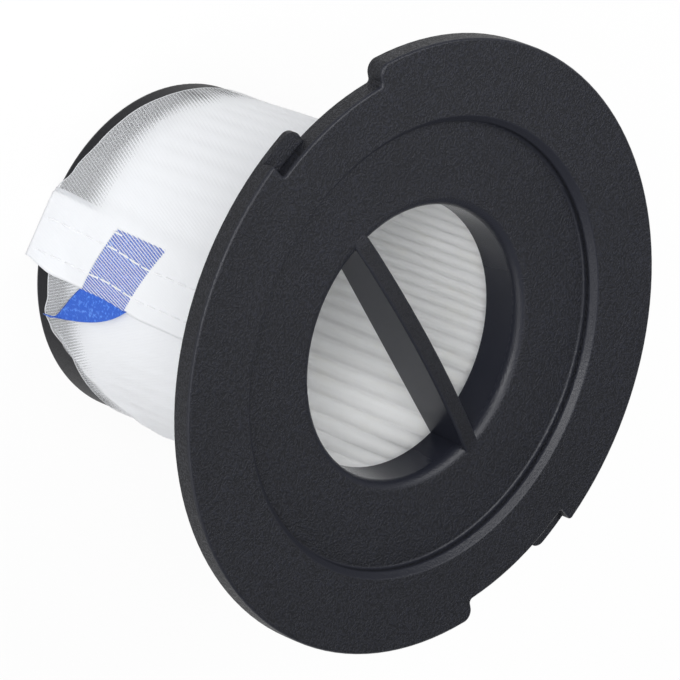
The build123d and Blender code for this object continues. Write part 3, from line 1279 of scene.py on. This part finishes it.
@dataclass
class LapSeam:
    """What lies in and on the seam band: turned-in layers of cloth and two rows of stitches."""

    wall: SleeveWall
    rows: int = 60
    columns: int = 24
    layers_lift: float = 0.3 * MM
    layers_inset: float = 0.12 * MM
    layers_start: float = -1.0 * MM
    layers_thickness: float = 0.1 * MM
    stitch_rows: Pair = (3.9 * MM, 9.1 * MM)
    stitch_length: float = 2.35 * MM
    stitch_gap: float = 0.45 * MM
    thread_radius: float = 0.15 * MM
    first_stitch: float = 1.6 * MM
    tack_row: float = 1.5 * MM
    tack_ends: Pair = (15.6 * MM, 18.8 * MM)
    stitch_sides: int = 8
    stitch_steps: int = 9
    stitch_fullness: float = 0.4
    stitch_depths: Pair = (-1.0, 0.7)

    def build(self) -> None:
        """Makes the turned-in layers and the stitches."""
        self.build_layers()
        self.build_stitches()

    def build_layers(self) -> bpy.types.Object:
        """Makes the closed white layers under the sheer one.

        Returns:
            The piece.
        """
        wall = self.wall
        rows = []
        threads = []
        for row in range(self.rows):
            height = mix(wall.band_foot + self.layers_inset, wall.top, row / (self.rows - 1))
            points = []
            places = []
            for column in range(self.columns):
                end = wall.width_at(height) - self.layers_inset
                across = mix(self.layers_start, end, column / (self.columns - 1))
                points.append(wall.band_point(across, height, self.layers_lift))
                places.append((across / MM, height / MM))
            rows.append(points)
            threads.append(places)
        piece = quad_sheet("seam_layers", rows, threads)
        thicken(piece, self.layers_thickness)
        dress(piece, SEAM_WHITE)
        place_piece(piece)
        return piece

    def stitch_points(self, across: float, start: float, end: float) -> list[Vector]:
        """Middle line of one stitch, which dips into the cloth at both ends.

        Args:
            across: distance from the band's first edge.
            start: height of its lower end.
            end: height of its upper end.

        Returns:
            The line's points.
        """
        points = []
        for step in range(self.stitch_steps):
            share = step / (self.stitch_steps - 1)
            crown = math.sin(math.pi * share) ** self.stitch_fullness
            lift = self.wall.band_lift + mix(*self.stitch_depths, crown) * self.thread_radius
            points.append(self.wall.band_point(across, mix(start, end, share), lift))
        return points

    def build_stitches(self) -> bpy.types.Object:
        """Makes both rows of stitches as one piece of thread.

        Returns:
            The piece.
        """
        points: list[Vector] = []
        faces: list[tuple[int, ...]] = []
        seams = [(across, self.first_stitch, self.wall.top) for across in self.stitch_rows]
        for across, start, end in [*seams, (self.tack_row, *self.tack_ends)]:
            while start + self.stitch_length < end:
                self.add_stitch(self.stitch_points(across, start, start + self.stitch_length), points, faces)
                start += self.stitch_length + self.stitch_gap
        mesh = bpy.data.meshes.new("seam_stitches")
        mesh.from_pydata(points, [], faces)
        piece = new_piece("seam_stitches", mesh)
        dress(piece, THREAD_WHITE)
        place_piece(piece)
        return piece

    def add_stitch(self, line: list[Vector], points: list[Vector], faces: list[tuple[int, ...]]) -> None:
        """Adds a closed tube along a line to a mesh's points and faces.

        Args:
            line: middle line of the stitch.
            points: points of the mesh so far.
            faces: faces of the mesh so far.
        """
        first = len(points)
        sides = self.stitch_sides
        outwards = Vector((line[0].x, line[0].y, 0)).normalized()
        aside = outwards.cross(line[-1] - line[0]).normalized()
        for spot in line:
            for side in range(sides):
                turn = math.tau * side / sides
                away = aside * math.cos(turn) + outwards * math.sin(turn)
                points.append(spot + away * self.thread_radius)
        for step in range(len(line) - 1):
            for side in range(sides):
                here = first + step * sides
                ahead = (side + 1) % sides
                faces.append((here + side, here + ahead, here + sides + ahead, here + sides + side))
        faces.append(tuple(first + side for side in reversed(range(sides))))
        last = first + (len(line) - 1) * sides
        faces.append(tuple(last + side for side in range(sides)))


@dataclass
class PullRibbon:
    """Blue ribbon caught in the seam, with a free cut tail; corners are an angle and a height."""

    wall: SleeveWall
    start_low: Pair = (29.6, 16.4 * MM)
    start_high: Pair = (30.4, 28.8 * MM)
    exit_low: Pair = (52.6, 11.5 * MM)
    exit_high: Pair = (54.2, 22.5 * MM)
    tip: Pair = (65.8, 3.3 * MM)
    cut_bow: float = 3.6
    bow_scale: float = 6.75
    tail_bow: Pair = (64.3, 16.6 * MM)
    fray: float = 0.25
    fray_step: float = 14.0
    start_reach: float = 10.0
    band_steps: int = 26
    tail_steps: int = 26
    across_steps: int = 30
    lift: float = 0.42 * MM
    tail_lift: float = 0.75 * MM
    tail_curl: float = 0.5 * MM
    lift_run: float = 0.5
    weld_reach: float = 0.01 * MM
    thickness: float = 0.1 * MM
    flat: Pair = (11.0 * MM, 22.0 * MM)

    def band_place(self, along: float, across: float) -> Pair:
        """Angle and height of a point of the part under the seam.

        Args:
            along: share of the way to the seam's edge.
            across: share of the ribbon's width.

        Returns:
            The angle and the height.
        """
        low = mix_pair(self.start_low, self.exit_low, along)
        high = mix_pair(self.start_high, self.exit_high, along)
        return mix_pair(low, high, across)

    def inside_at(self, point: Vector) -> float:
        """How far inside the part under the seam a point lies: above 0 inside it, and 1 on its middle.

        Args:
            point: point on the sleeve.

        Returns:
            The share, below 0 outside the ribbon.
        """
        degrees = math.degrees(math.atan2(point.y, point.x))
        along = (degrees - self.start_low[0]) / (self.exit_low[0] - self.start_low[0])
        low, high = (self.band_place(along, across)[1] for across in (0.0, 1.0))
        across = (point.z - low) / (high - low)
        start = mix(self.start_low[0], self.start_high[0], across)
        return min(1 - abs(2 * across - 1), (degrees - start) / self.start_reach)

    def tail_place(self, along: float, across: float) -> Pair:
        """Angle and height of a point of the free tail, from the seam's edge to the tail's bowed edge.

        Args:
            along: share of the way to the bowed edge.
            across: share of the ribbon's width.

        Returns:
            The angle and the height.
        """
        leave = mix_pair(self.exit_low, self.exit_high, across)
        bowed = mix_pair(
            mix_pair(self.tip, self.tail_bow, across), mix_pair(self.tail_bow, self.exit_high, across), across
        )
        place = mix_pair(leave, bowed, along)
        bow = self.bow_scale * along**2 * (1 - along) * (1 - across) ** 3
        ragged = noise.noise(Vector((along * self.fray_step, 0.5, 2.5)))
        frayed = self.fray * ragged * along * (1 - across) ** 6
        return place[0] + self.cut_bow * bow + frayed, place[1]

    def build(self) -> bpy.types.Object:
        """Makes the ribbon and puts it in place of its solid.

        Returns:
            The piece.
        """
        rows = []
        threads = []
        total = self.band_steps + self.tail_steps
        for row in range(total + 1):
            points = []
            places = []
            for column in range(self.across_steps + 1):
                across = column / self.across_steps
                if row <= self.band_steps:
                    degrees, height = self.band_place(row / self.band_steps, across)
                    lift = self.lift
                else:
                    along = (row - self.band_steps) / self.tail_steps
                    degrees, height = self.tail_place(along, across)
                    rise = mix(self.lift, self.tail_lift, smooth_step(along, 0, self.lift_run))
                    lift = rise + self.tail_curl * along**3 * (1 - across)
                points.append(self.wall.tube_point(degrees, height, lift))
                places.append(self.thread_place(degrees, height))
            rows.append(points)
            threads.append(places)
        piece = quad_sheet("ribbon_strip", rows, threads)
        weld(piece, self.weld_reach)
        thicken(piece, self.thickness)
        dress(piece, RIBBON_BLUE)
        place_piece(piece)
        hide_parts("pull_ribbon")
        return piece

    def thread_place(self, degrees: float, height: float) -> Pair:
        """Place on the flat ribbon in millimetres, turned to the ribbon's own direction.

        Args:
            degrees: angle on the sleeve.
            height: height on the sleeve.

        Returns:
            The places across and along the ribbon.
        """
        around = math.radians(degrees - self.start_low[0]) * self.wall.cap_radius / MM
        up = (height - self.start_low[1]) / MM
        reach = math.radians(self.exit_low[0] - self.start_low[0]) * self.wall.cap_radius / MM
        slope = math.atan2((self.exit_low[1] - self.start_low[1]) / MM, reach)
        return (
            up * math.cos(slope) - around * math.sin(slope),
            around * math.cos(slope) + up * math.sin(slope),
        )


@dataclass(frozen=True)
class SoftLamp:
    """Square soft box that looks at the filter."""

    name: str
    heading: float
    elevation: float
    distance: float
    size: float
    share: float

    def build(self, target: Vector) -> None:
        """Adds the lamp, with its share of a plain level of light at the target.

        Args:
            target: point that the lamp looks at.
        """
        data = bpy.data.lights.new(self.name, "AREA")
        data.size = self.size
        data.energy = self.share * math.pi**2 * self.distance**2
        lamp = bpy.data.objects.new(self.name, data)
        lamp.visible_camera = False
        bpy.context.scene.collection.objects.link(lamp)
        outwards = facing(self.heading, self.elevation)
        turned = outwards.to_track_quat("Z", "Y").to_matrix().to_4x4()
        lamp.matrix_world = Matrix.Translation(target + outwards * self.distance) @ turned


def facing(heading: float, elevation: float) -> Vector:
    """Unit direction at a heading round Z from X and an elevation over the floor, in degrees.

    Args:
        heading: angle round Z from X.
        elevation: angle over the floor.

    Returns:
        The direction.
    """
    up = math.radians(elevation)
    level = round_axis(math.cos(up), heading, 0.0)
    return level + Vector((0, 0, math.sin(up)))


@dataclass
class Studio:
    """White floor and backdrop, soft boxes and the camera at the photo's angle."""

    target: Vector = field(default_factory=lambda: Vector((5.72, 7.308, 50.416)) * MM)
    distance: float = 964.56 * MM
    heading: float = 29.51
    elevation: float = 43.08
    roll: float = 111.505
    lens: float = 340.7
    sensor: float = 36.0
    floor_side: float = 6.0
    floor_colour: Colour = (0.9, 0.9, 0.9)
    floor_roughness: float = 0.9
    shown_white: float = 0.95
    world_level: float = 0.205
    lamps: tuple[SoftLamp, ...] = (
        SoftLamp("front_box", heading=30.0, elevation=46.0, distance=1.2, size=0.6, share=0.63),
        SoftLamp("side_box", heading=90.0, elevation=32.0, distance=1.1, size=0.8, share=0.29),
        SoftLamp("near_box", heading=300.0, elevation=60.0, distance=0.22, size=0.18, share=0.85),
    )

    def build(self) -> None:
        """Builds the stage, the light and the camera."""
        bpy.context.scene.view_settings.view_transform = "Standard"
        self.build_floor()
        self.build_world()
        for lamp in self.lamps:
            lamp.build(self.target)
        self.build_camera()

    def build_camera(self) -> None:
        """Adds the camera, turned about its own axis as the photo is."""
        data = bpy.data.cameras.new("photo_camera")
        data.lens = self.lens
        data.sensor_width = self.sensor
        camera = bpy.data.objects.new("photo_camera", data)
        bpy.context.scene.collection.objects.link(camera)
        outwards = facing(self.heading, self.elevation)
        level = outwards.to_track_quat("Z", "Y").to_matrix()
        turned = (level @ Matrix.Rotation(math.radians(self.roll), 3, "Z")).to_4x4()
        camera.matrix_world = Matrix.Translation(self.target + outwards * self.distance) @ turned
        bpy.context.scene.camera = camera

    def seen_directly(self, wiring: Wiring) -> bpy.types.NodeSocket:
        """Mask of the rays that show a surface itself: camera, glossy and transmission rays.

        Args:
            wiring: tree of the floor's material.

        Returns:
            The mask's socket.
        """
        path = wiring.node("ShaderNodeLightPath")
        mirrored = wiring.math("MAXIMUM", path.outputs["Is Glossy Ray"], path.outputs["Is Transmission Ray"])
        return wiring.math("MAXIMUM", path.outputs["Is Camera Ray"], mirrored)

    def build_floor(self) -> None:
        """Lays a white floor that keeps the filter's shadow."""
        half = self.floor_side / 2
        mesh = bpy.data.meshes.new("studio_floor")
        corners = [(-half, -half, 0), (half, -half, 0), (half, half, 0), (-half, half, 0)]
        mesh.from_pydata(corners, [], [(0, 1, 2, 3)])
        floor = new_piece("studio_floor", mesh)
        material = bpy.data.materials.new("studio_white")
        material.use_nodes = True
        wiring = Wiring(material.node_tree)
        shader = material.node_tree.nodes["Principled BSDF"]
        shader.inputs["Base Color"].default_value = (*self.floor_colour, 1)
        shader.inputs["Roughness"].default_value = self.floor_roughness
        shader.inputs["Specular IOR Level"].default_value = 0.0
        glow = wiring.node("ShaderNodeEmission")
        both = wiring.node("ShaderNodeMixShader")
        share = wiring.math("MULTIPLY", self.seen_directly(wiring), self.shown_white)
        wiring.join(share, both.inputs[0])
        wiring.join(shader.outputs[0], both.inputs[1])
        wiring.join(glow.outputs[0], both.inputs[2])
        wiring.join(both.outputs[0], material.node_tree.nodes["Material Output"].inputs["Surface"])
        mesh.materials.append(material)

    def build_world(self) -> None:
        """Sets an even light all round, which the camera sees as white."""
        world = bpy.data.worlds.new("studio_light")
        world.use_nodes = True
        bpy.context.scene.world = world
        wiring = Wiring(world.node_tree)
        backdrop = world.node_tree.nodes["Background"]
        path = wiring.node("ShaderNodeLightPath")
        level = wiring.blend_value(path.outputs["Is Camera Ray"], self.world_level, 1.0)
        wiring.join(level, backdrop.inputs["Strength"])
        backdrop.inputs["Color"].default_value = (1, 1, 1, 1)


def main() -> None:
    """Builds the stage and every piece of the filter, in order."""
    logging.basicConfig(level=logging.INFO, format="%(name)s %(message)s")
    Studio().build()
    MouldedParts().build()
    PleatPack().build()
    wall = SleeveWall()
    ribbon = PullRibbon(wall)
    MeshSleeve(wall, ribbon).build()
    LapSeam(wall).build()
    ribbon.build()


if __name__ == "__main__":
    main()
